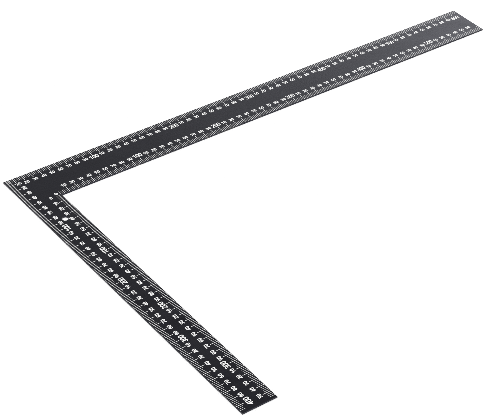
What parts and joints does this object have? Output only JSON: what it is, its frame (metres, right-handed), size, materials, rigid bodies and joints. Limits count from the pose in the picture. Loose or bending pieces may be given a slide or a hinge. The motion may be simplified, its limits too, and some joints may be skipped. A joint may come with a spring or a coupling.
{
  "type": "steel square ruler",
  "caption": "Flat L-shaped steel square ruler with a hanging hole and white millimetre scales printed along its inner and outer edges, for marking out and checking right angles and lengths.",
  "frame": {"origin": "outer corner (heel) of the square, on the plane of its underside", "axes": "+X along the long arm, -Y along the short arm, +Z out of the printed face"},
  "size_m": [0.61, 0.41, 0.0016],
  "materials": {
    "black_steel": "satin black coated steel",
    "white_ink": "matte white printed marks"
  },
  "bodies": {
    "root": {"steel_blade": "black_steel", "corner_numerals": "white_ink", "heel_crossed_lines": "white_ink", "inner_zero_lines": "white_ink", "long_inner_centimetre_lines": "white_ink", "long_inner_fine_lines": "white_ink", "long_inner_hundreds": "white_ink", "long_inner_tens": "white_ink", "long_outer_centimetre_lines": "white_ink", "long_outer_fine_lines": "white_ink", "long_outer_hundreds": "white_ink", "long_outer_tens": "white_ink", "short_inner_centimetre_lines": "white_ink", "short_inner_fine_lines": "white_ink", "short_inner_hundreds": "white_ink", "short_inner_tens": "white_ink", "short_outer_centimetre_lines": "white_ink", "short_outer_fine_lines": "white_ink", "short_outer_hundreds": "white_ink", "short_outer_tens": "white_ink"}
  },
  "joints": []
}
